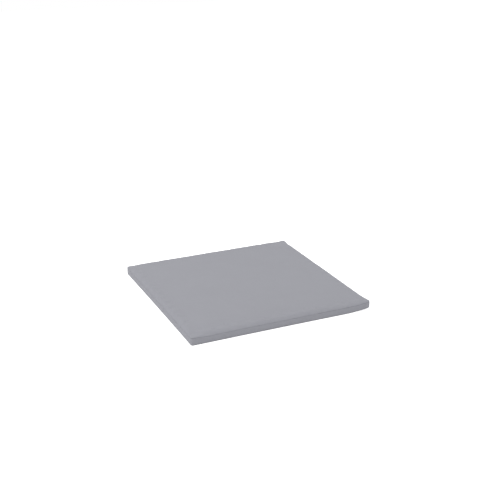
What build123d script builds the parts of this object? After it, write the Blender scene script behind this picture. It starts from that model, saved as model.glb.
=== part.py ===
from build123d import *
import math
import os

# Kneeling pad: a slab of foam in a boxed cloth cover that a zip closes along the back.
# Millimetres, +Z up, the front is -Y. The origin is on the ground under the middle of the pad.
# An inset is a distance inward from the outer face of the side band, all round.

# Cover
pad_width = 450.0  # left to right, over the side band
pad_depth = 450.0  # front to back, over the side band
pad_height = 25.0  # ground to the flat of the top
upper_seam = 15.0  # ground to the top edge of the side band
corner_radius = 4.0  # the upright corners of the side band
shoulder_width = 17.0  # from the upper seam inward to the flat of the top
crown_radius = 18.0  # the corners of the flat top
shoulder_steps = 6  # facets up the padded shoulder
fold_inset = 0.3  # the folded edge of a panel stands in from the band by this much

# Cloth and thread
cloth = 0.7
ply_gap = 0.1  # between two plies that lie on each other
seam_allowance = 8.0  # how far the turned-in edges reach
stitch_inset = 1.9  # the row of stitches behind the face of the band
thread = 0.4
thread_play = 0.05

# Foam
foam_clearance = 0.3  # between the foam and the cloth round it
allowance_room = 0.6  # past the turned-in edges, before the foam

# Zip tapes
band_return = 20.0  # the band turns the back corners and runs on this far
tape_lap = 12.0  # the tapes run on behind the band by this much
lap_gap = 0.3  # between the band and the tape behind it
tape_cloth = 0.55
tape_gap = 1.2  # between the two tapes, where the post of the slider passes

# Zip chain
chain_width = 4.2
chain_thickness = 1.6
spine_width = 1.1  # the sewn side of a coil
tip_gap = 0.25  # between the tips of one coil and the spine of the other
tooth_pitch = 1.25
tooth_width = 0.45
cord_diameter = 0.7
cord_play = 0.05

# Zip stops
stop_margin = 6.0  # from the end of the band to a stop
stop_length = 2.2
stop_wall = 0.4
seat_play = 0.05  # between a coil or a stop and the tape it sits on
stop_gap = 0.3  # between a stop and the slider against it

# Zip slider
slider_length = 9.0
slider_width = 7.2
slider_wall = 0.8
slider_play = 0.2
post_length = 2.5
post_width = 0.8
post_setback = 0.5  # from the leading end of the slider to its post
bridge_length = 6.4
bridge_width = 1.4
bridge_wall = 0.7
bridge_leg = 1.5
slider_rounding = 1.2

# Zip pull
pull_thickness = 0.9
pull_play = 0.2  # between the pull and the slider round it
pull_length = 22.0  # hinge to tip
pull_width = 5.0
pull_arm = 0.9
pull_yoke = 5.0  # hinge to the near edge of the blade
pull_hole = 2.4
pull_hole_margin = 1.3

# Stitches that hold the ends of the tapes
end_stitch = 2.4
end_stitch_pitch = 3.0
end_stitch_inset = 3.0  # from the end of the band to the first row
end_row_spacing = 5.0
end_stitch_margin = 1.0

# Levels above the ground
thread_room = thread + 2 * thread_play
lower_hem_base = cloth + thread_room
lower_hem_top = lower_hem_base + cloth
lower_seam = lower_hem_top + ply_gap
upper_hem_base = upper_seam + ply_gap
upper_hem_top = upper_hem_base + cloth
zip_line = (lower_seam + upper_seam) / 2
crown_rise = pad_height - upper_hem_base

# Places along the back: x runs along the zip, y out of the back of the pad
back_face = pad_depth / 2
band_end = pad_width / 2 - band_return
tape_face = back_face - cloth - lap_gap
tape_back = tape_face - tape_cloth
chain_base = tape_face + seat_play
chain_face = chain_base + chain_thickness
stop_end = band_end - stop_margin
chain_end = stop_end - stop_length - seat_play
plate_inside = chain_face + slider_play
plate_face = plate_inside + slider_wall
inner_plate_face = tape_back - slider_play
inner_plate_back = inner_plate_face - slider_wall
bridge_room = pull_thickness + 2 * pull_play
hinge_y = plate_face + bridge_room / 2
bridge_face = plate_face + bridge_room + bridge_wall
slider_front = stop_end - stop_length - stop_gap
slider_x = slider_front - slider_length / 2
slider_travel = slider_x + slider_front - slider_length / 2
post_x = slider_front - post_setback - post_length / 2


def outline(inset, level, radius):
    """The pad's plan at a level, drawn in by an inset."""
    with BuildSketch(Plane.XY.offset(level)) as plan:
        RectangleRounded(pad_width - 2 * inset, pad_depth - 2 * inset, radius)
    return plan.sketch


def border(inset, level):
    """All of the plan outside an inset, at a level."""
    with BuildSketch(Plane.XY.offset(level)) as plan:
        Rectangle(pad_width, pad_depth)
        RectangleRounded(
            pad_width - 2 * inset, pad_depth - 2 * inset, corner_radius, mode=Mode.SUBTRACT
        )
    return plan.sketch


def shoulder(depth):
    """Plans of the padded shoulder from the upper seam to the flat top, a depth below its face."""
    plans = []
    for step in range(shoulder_steps + 1):
        angle = math.radians(90 * step / shoulder_steps)
        lean = 1 - math.cos(angle)
        inset = fold_inset + depth + (shoulder_width - depth) * lean
        level = upper_hem_base + (crown_rise - depth) * math.sin(angle)
        plans.append(outline(inset, level, corner_radius + (crown_radius - corner_radius) * lean))
    return plans


def save(piece, name):
    """Label a finished piece and write its file."""
    piece.part.label = name
    export_step(piece.part, f"parts/{name}.step")


os.makedirs("parts", exist_ok=True)

# Foam slab, cut to bed on the turned-in edges of the cover and to clear the zip
foam_inset = fold_inset + cloth + foam_clearance
foam_base = cloth + ply_gap
bed_inset = seam_allowance + allowance_room
bed_room = ply_gap + thread_room
lower_bed_top = lower_seam + cloth + bed_room
upper_bed_base = upper_seam - cloth - bed_room
upper_bed_top = upper_hem_top + bed_room
zip_recess_length = 2 * (band_end + tape_lap + foam_clearance)

with BuildPart() as foam_core:
    extrude(outline(foam_inset, foam_base, corner_radius), amount=upper_hem_base - foam_base)
    loft(shoulder(cloth + foam_clearance), ruled=True)
    extrude(border(bed_inset, foam_base), amount=lower_bed_top - foam_base, mode=Mode.SUBTRACT)
    extrude(
        border(bed_inset, upper_bed_base), amount=upper_bed_top - upper_bed_base, mode=Mode.SUBTRACT
    )
    with BuildSketch(Plane.XY.offset(lower_bed_top)):
        with Locations((0, inner_plate_back - foam_clearance)):
            Rectangle(zip_recess_length, back_face, align=(Align.CENTER, Align.MIN))
    extrude(amount=upper_bed_base - lower_bed_top, mode=Mode.SUBTRACT)
save(foam_core, "foam_core")

# Bottom panel, its edge folded back over itself
with BuildPart() as bottom_panel:
    extrude(outline(fold_inset, 0, corner_radius), amount=lower_hem_top)
    extrude(
        outline(fold_inset + cloth, cloth, corner_radius - cloth),
        amount=thread_room,
        mode=Mode.SUBTRACT,
    )
    extrude(
        outline(seam_allowance, lower_hem_base, corner_radius), amount=cloth, mode=Mode.SUBTRACT
    )
save(bottom_panel, "bottom_panel")

# Top panel, shaped over the shoulder, its edge turned in under it
with BuildPart() as top_panel:
    loft(shoulder(0), ruled=True)
    loft(shoulder(cloth), ruled=True, mode=Mode.SUBTRACT)
    with BuildSketch(Plane.XY.offset(upper_hem_base)):
        RectangleRounded(pad_width - 2 * fold_inset, pad_depth - 2 * fold_inset, corner_radius)
        RectangleRounded(
            pad_width - 2 * seam_allowance,
            pad_depth - 2 * seam_allowance,
            corner_radius,
            mode=Mode.SUBTRACT,
        )
    extrude(amount=cloth)
save(top_panel, "top_panel")

# Side band round the left, the front, the right and both back corners
with BuildPart() as side_band:
    extrude(outline(0, lower_seam, corner_radius), amount=upper_seam - lower_seam)
    extrude(
        outline(cloth, lower_seam + cloth, corner_radius - cloth),
        amount=upper_seam - lower_seam - 2 * cloth,
        mode=Mode.SUBTRACT,
    )
    extrude(
        outline(seam_allowance, lower_seam, corner_radius),
        amount=upper_seam - lower_seam,
        mode=Mode.SUBTRACT,
    )
    with BuildSketch(Plane.XY.offset(lower_seam)):
        with Locations((0, back_face)):
            Rectangle(2 * band_end, 2 * seam_allowance)
    extrude(amount=upper_seam - lower_seam, mode=Mode.SUBTRACT)
save(side_band, "side_band")


def zip_tape(side):
    """One tape of the zip: side is 1 above the zip's line and -1 below it."""
    seam_reach = (upper_seam - lower_seam) / 2
    with BuildPart() as tape:
        with BuildSketch(Plane.YZ.offset(-band_end + ply_gap)):
            with BuildLine():
                Polyline(
                    (tape_face, zip_line + side * tape_gap / 2),
                    (tape_face, zip_line + side * seam_reach),
                    (back_face - seam_allowance, zip_line + side * seam_reach),
                    (back_face - seam_allowance, zip_line + side * (seam_reach - tape_cloth)),
                    (tape_back, zip_line + side * (seam_reach - tape_cloth)),
                    (tape_back, zip_line + side * tape_gap / 2),
                    close=True,
                )
            make_face()
        extrude(amount=2 * (band_end - ply_gap))
        lap_reach = seam_reach - cloth - ply_gap
        with BuildSketch(Plane.XZ.offset(-tape_face)):
            with Locations((0, zip_line + side * (tape_gap / 2 + lap_reach) / 2)):
                Rectangle(2 * (band_end + tape_lap), lap_reach - tape_gap / 2)
        extrude(amount=tape_cloth)
    return tape


def zip_coil(side):
    """One nylon coil of the chain: a spine with a bore for its cord, and teeth across the gap.

    Where the post of the slider parts the coils, the teeth stop short of it.
    """
    back_edge = zip_line + side * chain_width / 2
    root = back_edge - side * spine_width
    full_tip = root - side * (chain_width - 2 * spine_width - tip_gap)
    parted_tip = zip_line + side * (post_width / 2 + slider_play)
    parted_reach = (post_length + tooth_width) / 2 + slider_play
    tooth_count = 2 * int(chain_end / tooth_pitch) - 1
    comb = [(chain_end, root), (chain_end, back_edge), (-chain_end, back_edge), (-chain_end, root)]
    for index in range(tooth_count):
        middle = (index - (tooth_count - 1) / 2 + side / 4) * tooth_pitch
        near_side = middle - tooth_width / 2
        far_side = middle + tooth_width / 2
        tip = parted_tip if abs(middle - post_x) < parted_reach else full_tip
        comb += [(near_side, root), (near_side, tip), (far_side, tip), (far_side, root)]
    with BuildPart() as coil:
        with BuildSketch(Plane.XZ.offset(-chain_face)):
            with BuildLine():
                Polyline(*comb, close=True)
            make_face()
        extrude(amount=chain_thickness, clean=False)
        with BuildSketch(Plane.YZ.offset(-chain_end)):
            with Locations((chain_base + chain_thickness / 2, (back_edge + root) / 2)):
                Circle(cord_diameter / 2 + cord_play)
        extrude(amount=2 * chain_end, mode=Mode.SUBTRACT, clean=False)
    return coil


def zip_cord(side):
    """The filler cord inside a coil."""
    cord_line = zip_line + side * (chain_width - spine_width) / 2
    with BuildPart() as cord:
        with BuildSketch(Plane.YZ.offset(-chain_end)):
            with Locations((chain_base + chain_thickness / 2, cord_line)):
                Circle(cord_diameter / 2)
        extrude(amount=2 * chain_end)
    return cord


def top_stop(side):
    """A metal clip on the edge of one tape: a plate outside, a web in the gap, a plate inside."""
    web_line = zip_line + side * (tape_gap / 2 - seat_play - stop_wall / 2)
    plate_width = (chain_width - tape_gap) / 2 + seat_play + stop_wall
    plate_line = zip_line + side * (tape_gap / 2 - seat_play - stop_wall + plate_width / 2)
    with BuildPart() as stop:
        with BuildSketch(Plane.YZ.offset(stop_end - stop_length)):
            with Locations((chain_base + (chain_thickness - seat_play) / 2, plate_line)):
                Rectangle(chain_thickness - seat_play, plate_width)
            with Locations((tape_back - seat_play - stop_wall / 2, plate_line)):
                Rectangle(stop_wall, plate_width)
            with Locations(((chain_base + tape_back - seat_play) / 2, web_line)):
                Rectangle(chain_base - tape_back + seat_play, stop_wall)
        extrude(amount=stop_length)
        fillet(stop.faces().sort_by(Axis.Y)[-1].edges(), stop_wall)
    return stop


# The two tapes, their coils and the cords in the coils
for side, place in ((1, "upper"), (-1, "lower")):
    save(zip_tape(side), f"zip_tape_{place}")
    save(zip_coil(side), f"zip_coil_{place}")
    save(zip_cord(side), f"zip_cord_{place}")
    save(top_stop(side), f"zip_top_stop_{place}")

# Bottom stop: one clip over both coils at the far end
with BuildPart() as zip_bottom_stop:
    with BuildSketch(Plane.YZ.offset(-stop_end)):
        with Locations((chain_base + chain_thickness / 2, zip_line)):
            Rectangle(chain_thickness, chain_width)
        with Locations((tape_back - seat_play - stop_wall / 2, zip_line)):
            Rectangle(stop_wall, chain_width)
        with Locations(((chain_base + tape_back) / 2, zip_line)):
            Rectangle(chain_base - tape_back + 2 * seat_play, tape_gap - 2 * seat_play)
    extrude(amount=stop_length)
    fillet(zip_bottom_stop.faces().sort_by(Axis.Y)[-1].edges(), stop_wall)
save(zip_bottom_stop, "zip_bottom_stop")

# Slider: two plates joined by a post, flanges that hold the coils, a bridge for the pull
flange_inside = chain_width / 2 + slider_play
with BuildPart() as zip_slider:
    with BuildSketch(Plane.XZ.offset(-plate_face)):
        with Locations((slider_x, zip_line)):
            RectangleRounded(slider_length, slider_width, slider_rounding)
    extrude(amount=slider_wall)
    with BuildSketch(Plane.XZ.offset(-inner_plate_face)):
        with Locations((slider_x, zip_line)):
            RectangleRounded(slider_length, slider_width, slider_rounding)
    extrude(amount=slider_wall)
    with BuildSketch(Plane.XZ.offset(-plate_inside)):
        with Locations((slider_x, zip_line)):
            RectangleRounded(slider_length, slider_width, slider_rounding)
            Rectangle(slider_length, 2 * flange_inside, mode=Mode.SUBTRACT)
    extrude(amount=plate_inside - tape_face - slider_play)
    with BuildSketch(Plane.XZ.offset(-plate_inside)):
        with Locations((post_x, zip_line)):
            RectangleRounded(post_length, post_width, post_width / 2 - ply_gap)
    extrude(amount=plate_inside - inner_plate_face)
    with BuildSketch(Plane.XY.offset(zip_line - bridge_width / 2)):
        with Locations((slider_x, plate_face)):
            Rectangle(bridge_length, bridge_room + bridge_wall, align=(Align.CENTER, Align.MIN))
            Rectangle(
                bridge_length - 2 * bridge_leg,
                bridge_room,
                align=(Align.CENTER, Align.MIN),
                mode=Mode.SUBTRACT,
            )
    extrude(amount=bridge_width)
    outer_corners = zip_slider.edges().filter_by(Axis.Z).filter_by_position(
        Axis.Y, bridge_face - seat_play, bridge_face + seat_play
    )
    fillet(outer_corners, bridge_wall)
save(zip_slider, "zip_slider")

# Pull: a round bar under the bridge, two arms and a blade with a hole
arm_line = bridge_width / 2 + pull_play + pull_arm / 2
arm_length = pull_yoke + pull_width / 2
with BuildPart() as zip_pull:
    with BuildSketch(Plane.XZ.offset(-hinge_y - pull_thickness / 2)):
        with Locations((slider_x - (pull_yoke + pull_length) / 2, zip_line)):
            RectangleRounded(pull_length - pull_yoke, pull_width, pull_width / 2 - pull_play)
        with Locations((slider_x - arm_length / 2, zip_line)):
            with GridLocations(1, 2 * arm_line, 1, 2):
                Rectangle(arm_length, pull_arm)
        with Locations((slider_x - pull_length + pull_hole / 2 + pull_hole_margin, zip_line)):
            Circle(pull_hole / 2, mode=Mode.SUBTRACT)
    extrude(amount=pull_thickness)
    with Locations((slider_x, hinge_y, zip_line)):
        Cylinder(pull_thickness / 2, 2 * arm_line + pull_arm)
save(zip_pull, "zip_pull")


def seam_thread(level):
    """A thread that runs all round along the row of stitches, resting at a level."""
    with BuildPart() as ring:
        with BuildSketch(Plane.XY.offset(level + thread / 2), mode=Mode.PRIVATE) as plan:
            RectangleRounded(pad_width - 2 * stitch_inset, pad_depth - 2 * stitch_inset, corner_radius)
        run = plan.sketch.face().outer_wire()
        with BuildSketch(Plane(origin=run @ 0, z_dir=run % 0)):
            Circle(thread / 2)
        sweep(path=run)
    return ring


# The two threads of each seam, one on either side of the turned-in edges
save(seam_thread(upper_hem_top + thread_play), "upper_seam_needle_thread")
save(seam_thread(upper_seam - cloth - thread_play - thread), "upper_seam_bobbin_thread")
save(seam_thread(cloth + thread_play), "lower_seam_needle_thread")
save(seam_thread(lower_seam + cloth + thread_play), "lower_seam_bobbin_thread")

# Stitches through the ends of the band and the tapes behind them, in two upright rows
row_height = upper_seam - lower_seam - 2 * (cloth + end_stitch_margin)
row_count = int(row_height / end_stitch_pitch)
for side, place in ((-1, "left"), (1, "right")):
    row_x = side * (band_end + end_stitch_inset + end_row_spacing / 2)
    with BuildPart() as end_stitches:
        with BuildSketch(Plane.XZ.offset(-back_face - thread_play)):
            with Locations((row_x, zip_line)):
                with GridLocations(end_row_spacing, end_stitch_pitch, 2, row_count):
                    SlotOverall(end_stitch, thread, rotation=90)
        extrude(amount=-thread)
    save(end_stitches, f"zip_end_stitches_{place}")

print(f"zip_travel: {slider_travel:.2f} mm towards -X")
print(f"pull_hinge: at {slider_x:.2f}, {hinge_y:.2f}, {zip_line:.2f} mm, about Z")
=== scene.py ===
# %% [markdown]
# # A kneeling pad in Blender
#
# The pad is a slab of foam in a sewn cloth cover that a zip closes along the back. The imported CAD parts
# give every size and place, and this file gives the cloth, the seams, the zip and the light. Everything is in
# metres. The front is -Y, the right is +X, and the pad lies on the ground at z = 0.

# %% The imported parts
import math

import bmesh
import bpy
import numpy as np
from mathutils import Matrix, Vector


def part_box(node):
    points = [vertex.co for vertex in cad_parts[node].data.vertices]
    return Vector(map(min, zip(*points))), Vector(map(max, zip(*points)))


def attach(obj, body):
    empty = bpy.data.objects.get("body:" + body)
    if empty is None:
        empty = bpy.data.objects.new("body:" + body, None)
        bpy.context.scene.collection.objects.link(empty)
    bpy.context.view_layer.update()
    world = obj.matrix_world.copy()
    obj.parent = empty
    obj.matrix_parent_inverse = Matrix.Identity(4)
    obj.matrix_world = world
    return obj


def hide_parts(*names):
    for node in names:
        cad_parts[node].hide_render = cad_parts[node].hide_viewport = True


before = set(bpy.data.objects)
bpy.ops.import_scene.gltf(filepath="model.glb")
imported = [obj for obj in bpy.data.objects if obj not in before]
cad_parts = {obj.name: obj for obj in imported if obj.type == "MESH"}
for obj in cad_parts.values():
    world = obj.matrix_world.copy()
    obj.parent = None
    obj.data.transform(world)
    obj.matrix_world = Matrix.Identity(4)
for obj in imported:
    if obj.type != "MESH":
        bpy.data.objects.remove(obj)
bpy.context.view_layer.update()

# %% [markdown]
# ## Sizes from the frame
#
# The cover is a top panel and a bottom panel with a band of cloth between them, from a lower seam near the
# ground to an upper seam. The boxes of the CAD nodes say where these are, so nothing is placed by eye. Sizes
# that belong to the cloth alone come later, each where it is first needed.

# %% Sizes of the cover
MM = 0.001
TINY = 1e-9
band_low, band_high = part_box("side_band")
top_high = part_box("top_panel")[1]
half_width = band_high[0]
half_depth = band_high[1]
lower_seam = band_low[2]
upper_seam = band_high[2]
crown = top_high[2]
fold_inset = half_width - top_high[0]
cloth_thickness = 0.6 * MM
print("cover:", 2 * half_width, "x", 2 * half_depth, "x", crown, "seams at", lower_seam, upper_seam)

# %% [markdown]
# ## Small helpers
#
# Colours are written as sRGB hex codes, as a paint chart gives them, and Blender wants linear light, so one
# function converts them. Another adds a node with its settings and its links in one call, which keeps the
# materials short. The rest make objects, from points and faces, or from a curve or a modifier whose result
# becomes a plain mesh, because only plain meshes travel well to other programs.

# %% Colour and node helpers
def linear(hex_code):
    """Turn an sRGB hex colour into linear red, green, blue and alpha."""
    parts = [int(hex_code[i : i + 2], 16) / 255 for i in (1, 3, 5)]
    light = [c / 12.92 if c <= 0.04045 else ((c + 0.055) / 1.055) ** 2.4 for c in parts]
    return (*light, 1)


def add(tree, kind, inputs=(), **settings):
    """Add a node with its settings; its inputs, by name or in order, take values, sockets or nodes."""
    node = tree.nodes.new(kind)
    for name, value in settings.items():
        setattr(node, name, value)
    for name, source in inputs.items() if isinstance(inputs, dict) else enumerate(inputs):
        if isinstance(source, bpy.types.Node):
            source = source.outputs[0]
        if isinstance(source, bpy.types.NodeSocket):
            tree.links.new(source, node.inputs[name])
        else:
            node.inputs[name].default_value = source
    return node


def new_material(name):
    """An empty node material and its tree, ready for a shader."""
    material = bpy.data.materials.new(name)
    material.use_nodes = True
    material.node_tree.nodes.clear()
    return material, material.node_tree


print("half of white in sRGB is", round(linear("#808080")[0], 3), "in linear light")

# %% Object helpers
def new_object(name, data):
    """An object with its data, at the origin and linked to the scene."""
    made = bpy.data.objects.new(name, data)
    bpy.context.scene.collection.objects.link(made)
    return made


def new_mesh(name, points, faces, material=None, smooth=True):
    """A mesh object from points and faces."""
    mesh = bpy.data.meshes.new(name)
    mesh.from_pydata([tuple(p) for p in points], [], [tuple(f) for f in faces])
    mesh.validate()
    mesh.shade_smooth() if smooth else mesh.shade_flat()
    if material:
        mesh.materials.append(material)
    return new_object(name, mesh)


def as_mesh(name, source):
    """Turn a curve, or an object with modifiers, into a plain mesh object, and delete the source."""
    graph = bpy.context.evaluated_depsgraph_get()
    mesh = bpy.data.meshes.new_from_object(source.evaluated_get(graph), depsgraph=graph)
    bpy.data.objects.remove(source)
    return new_object(name, mesh)


# %% [markdown]
# ## The plan of the pad
#
# Every row of the cover, from the ground to the flat of the top, is a rounded square. A cube with bevelled
# edges would have that plan too, but its faces bunch at the corners. Here each row has as many points as
# the next, so the rows join into a neat grid of four-sided faces, which cloth simulation and shading both
# like. The points of a sharp square that lie within a corner's radius of the corner are moved onto its arc.
#
# No sewn cover has four equal corners, so some sizes are given by corner: -1 is left or front, and 1 is right
# or back. The front right corner, which has curled up in use, is the softest.

# %% Sizes by corner
softer_corners = {(-1, -1): 1.0 * MM, (1, -1): 4.5 * MM, (1, 1): 0.0, (-1, 1): 2.5 * MM}
soften_over = 0.2  # the outer share of the half width, over which the extra radius grows


def by_corner(x, y, values):
    """The value of the corner whose quarter of the pad each point lies in."""
    chosen = np.zeros_like(x)
    for (side_x, side_y), value in values.items():
        chosen = np.where((x * side_x >= 0) & (y * side_y >= 0), value, chosen)
    return chosen


print("extra corner radius up to", max(softer_corners.values()) / MM, "mm")

# %% Rounded squares
def rounded(x, y, radius):
    """Move points of sharp-cornered squares onto the same squares with rounded corners."""
    side = np.maximum(np.abs(x), np.abs(y) * half_width / half_depth)
    reach_x = side
    reach_y = side * half_depth / half_width
    outermost = np.clip(1 - (1 - side / half_width) / soften_over, 0, 1)
    radius = radius + by_corner(x, y, softer_corners) * outermost
    along = np.maximum(reach_x - np.abs(x), reach_y - np.abs(y))
    share = np.clip(along / np.maximum(radius, TINY), 0, 1)
    on_side = reach_x - np.abs(x) <= reach_y - np.abs(y)
    angle = math.pi / 4 * np.where(on_side, 1 - share, 1 + share)
    arc_x = reach_x - radius + radius * np.cos(angle)
    arc_y = reach_y - radius + radius * np.sin(angle)
    near = along < radius
    new_x = np.where(near, arc_x, np.abs(x)) * np.where(x < 0, -1, 1)
    new_y = np.where(near, arc_y, np.abs(y)) * np.where(y < 0, -1, 1)
    return new_x, new_y


tip = rounded(np.array([half_width]), np.array([half_depth]), 0.0)[0]
print("the back right corner is sharp at x =", round(float(tip[0]), 4), "before a row adds its radius")

# %% [markdown]
# ## How the cover has settled
#
# A tight cover pulls its sides in between the corners, and the stiff corners poke out. The front right corner
# has also curled up, as corners do that are picked up and knelt on. A lattice could bend the pad, but one
# function that moves points does the same to every piece, so that cloth, foam and thread stay together. The
# back stays straight, because the zip holds it.
#
# Nothing soft is quite even. A few long sine waves, drawn from a fixed seed, give slow dents that come out
# the same each time.

# %% Set of the cover
corner_poke = 0.3 * MM
side_pinch = 0.7 * MM
edge_falloff = 8  # a power: the set of an edge dies away fast towards the middle
curl_height = 5.2 * MM
curl_reach = 72 * MM
curl_press = 0.1  # how much thinner the pad gets where it curls


def settle(points):
    """Give straight-sided points the set of the real pad: pulled-in sides, poking and curled corners."""
    points = np.array(points, dtype=float)
    x, y, z = points[:, 0].copy(), points[:, 1].copy(), points[:, 2].copy()
    along_x, along_y = x / half_width, y / half_depth
    edge_x = corner_poke * along_y**2 - side_pinch * (1 - along_y**2)
    edge_y = corner_poke * along_x**2 - side_pinch * (1 - along_x**2)
    edge_y = np.where(y > 0, 0.0, edge_y)
    points[:, 0] += np.sign(x) * np.abs(along_x) ** edge_falloff * edge_x
    points[:, 1] += np.sign(y) * np.abs(along_y) ** edge_falloff * edge_y
    reach = np.clip(1 - np.hypot(x - half_width, y + half_depth) / curl_reach, 0, 1)
    points[:, 2] += (curl_height - curl_press * z) * reach**2
    return points


print("curl at the front right corner:", settle([(half_width, -half_depth, 0)])[0, 2] / MM, "mm")

# %% Unevenness
wave_lengths = (0.7, 1.6)  # shortest and longest, as shares of the length asked for
wave_count = 9


def waves(x, y, seed, length):
    """A smooth uneven surface between about -1 and 1, made of a few long waves of about one length."""
    random = np.random.default_rng(seed)
    total = np.zeros_like(x)
    for turn in range(wave_count):
        heading = random.uniform(0, math.pi)
        wave = length * random.uniform(*wave_lengths)
        phase = random.uniform(0, 2 * math.pi)
        total += np.sin((x * math.cos(heading) + y * math.sin(heading)) * 2 * math.pi / wave + phase)
    return total / math.sqrt(wave_count)


def uneven(x, y, layers):
    """Layers of waves added up: each has its height, its seed and its length."""
    return sum(height * waves(x, y, seed, length) for height, seed, length in layers)


print("waves of", wave_lengths[0], "to", wave_lengths[1], "times their length")

# %% [markdown]
# ## Seam and shoulder
#
# The upper seam isn't level on the real pad. It lies lowest along the zip, and climbs at each corner, where
# four layers of seam make a stiff little ear. Above it the cloth comes over the soft edge of the foam: a
# shoulder that rises steeply and then levels out into the flat. The crown sinks towards the front, and there
# is a shallow valley before the curled corner, where the pad bends. One could push a plain box about by hand,
# but formulas can be measured and mended, and the band, the threads and the zip can ask for the same heights.
#
# Sizes in threes are for the back, for the left and right, and for the front.

# %% Ears and sides
ear_reaches = {(-1, -1): 30 * MM, (1, -1): 30 * MM, (1, 1): 30 * MM, (-1, 1): 20 * MM}
side_fade = 60 * MM  # how far a side's own size reaches round the corner


def ear(x, y):
    """How much a point belongs to a corner's ear: one at the corner, zero a few reaches away."""
    away = np.hypot(half_width - np.abs(x), half_depth - np.abs(y))
    return np.exp(-((away / by_corner(x, y, ear_reaches)) ** 2))


def by_side(y, values):
    """A size that has one value along the back, one along the left and right, and one along the front."""
    back, side, front = values
    size = side
    for end, value in ((1, back), (-1, front)):
        away = np.clip((half_depth - end * y) / side_fade, 0, 1)
        size = size + (value - side) * (1 - away**2 * (3 - 2 * away))
    return size


print("ears reach", sorted({reach / MM for reach in ear_reaches.values()}), "mm from their corners")

# %% Height of the seam
seam_rises = (0.0, 1.6 * MM, 1.2 * MM)
ear_heights = {(-1, -1): 17.5 * MM, (1, -1): 16.8 * MM, (1, 1): 19.5 * MM, (-1, 1): 18.9 * MM}
ear_pinches = {(-1, -1): 3.5, (1, -1): 7.5, (1, 1): 2.5, (-1, 1): 2.5}  # more folds at the corner
fold_height = 0.15 * MM
wander_waves = ((0.10 * MM, 3, 34 * MM), (0.12 * MM, 4, 120 * MM))  # height, seed and length


def seam_level(x, y):
    """Height of the upper seam: lowest along the zip, a little higher elsewhere, highest in the ears."""
    straight = upper_seam + by_side(y, seam_rises)
    return straight + (by_corner(x, y, ear_heights) - straight) * ear(x, y)


def seam_wander(x, y):
    """How far the seam strays from its line, in metres: nobody guides cloth quite straight."""
    return uneven(x, y, wander_waves)


def fold(x, y, lift, pinched=1.0):
    """Height of a row of the seam's fold above the seam: the groove is widest where a corner is pinched."""
    return lift * fold_height * (1 + pinched * by_corner(x, y, ear_pinches) * ear(x, y))


left, middle = np.array([-half_width]), np.array([0.0])
print("seam at the middle of the left side:", round(float(seam_level(left, middle)[0]) / MM, 2), "mm up")

# %% Height of the top
settled = 0.3 * MM
top_sinks = (0.0, 0.0, 2.4 * MM)
shoulder_widths = (14 * MM, 11 * MM, 13 * MM)
shoulder_fullness = 2.5  # a power: a higher one climbs more steeply at the seam
ear_rise = 1.8 * MM
ear_width = 3 * MM
valley_depth = 1.5 * MM
valley_away = 62 * MM
valley_width = 36 * MM


def top_level(x, y, inset, depth=0.0):
    """Height of the top panel over its shoulder and its flat, a depth below the face of the cloth."""
    share = ear(x, y)
    seam = seam_level(x, y) + fold(x, y, 1.0)
    top = (crown - settled - by_side(y, top_sinks)) * (1 - share) + (seam + ear_rise) * share - depth
    width = by_side(y, shoulder_widths) * (1 - share) + ear_width * share
    over = 1 - np.clip((inset - fold_inset) / width, 0, 1)
    away = np.hypot(half_width - x, half_depth + y)
    valley = valley_depth * np.exp(-(((away - valley_away) / valley_width) ** 2))
    return seam + (top - valley - seam) * (1 - over**shoulder_fullness)


print("middle of the top:", round(float(top_level(middle, middle, half_width)[0]) / MM, 2), "mm up")

# %% [markdown]
# ## Grids of rounded squares
#
# A panel's rows are named by their inset, which is how far they lie inside the pad's edge. All the rows of a
# panel make one square grid, and its outermost points, taken in order, are the border that the hems, the band
# and the threads follow point for point. The corners' radius grows over the shoulder and fades out on the
# flat, where the rows are only there to carry points.

# %% Rows of a grid
corner_radius = 4 * MM
crown_radius = 6 * MM
shoulder_strip = 16 * MM
corner_fade = 5 * shoulder_strip


def radius_at(inset):
    """Corner radius of the row at an inset: it grows over the shoulder and fades out on the flat."""
    return np.interp(inset, [0, shoulder_strip, corner_fade], [corner_radius, crown_radius, 0])


def grid_line(insets):
    """Places of a square grid's lines across the pad, from one side to the other."""
    half = half_width - np.array(insets)
    return np.concatenate([-half, half[-2::-1]])


def square_grid(insets):
    """Plan of a grid of rounded squares, one inside the next: x, y, each point's row, and the grid's size."""
    line = grid_line(insets)
    size = len(line)
    row = np.minimum(np.arange(size), size - 1 - np.arange(size))
    x, y = np.meshgrid(line, line * half_depth / half_width, indexing="ij")
    ring = np.minimum(row[:, None], row[None, :]).ravel()
    x, y = rounded(x.ravel(), y.ravel(), radius_at(np.array(insets)[ring]))
    return x, y, ring, size


def grid_faces(rows, columns, flip=False):
    """Four-sided faces over a grid of points stored row by row."""
    index = np.arange(rows * columns).reshape(rows, columns)
    corners = [index[:-1, :-1], index[1:, :-1], index[1:, 1:], index[:-1, 1:]]
    faces = np.stack(corners, axis=-1).reshape(-1, 4)
    return faces[:, ::-1] if flip else faces


print("corner radius:", corner_radius / MM, "mm at the seam,", crown_radius / MM, "mm over the shoulder")

# %% Border of a grid
def border_of(insets):
    """The outer points of a square grid, counter-clockwise: their indices, and their places from -1 to 1."""
    line = grid_line(insets)
    size = len(line)
    index = np.arange(size * size).reshape(size, size)
    loop = np.concatenate([index[:-1, 0], index[-1, :-1], index[:0:-1, -1], index[0, :0:-1]])
    line /= half_width - insets[0]
    return loop, line[loop // size], line[loop % size]


def rim_row(border, inset, level):
    """A closed row round the pad at an inset and a level, point for point beside a grid's border."""
    half = half_width - inset
    _, place_x, place_y = border
    x, y = rounded(place_x * half, place_y * half * half_depth / half_width, radius_at(inset))
    return np.column_stack([x, y, np.full(len(x), level)])


print("a grid of 3 rows has", len(border_of([0, 1 * MM, half_width])[0]), "points on its border")

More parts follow.
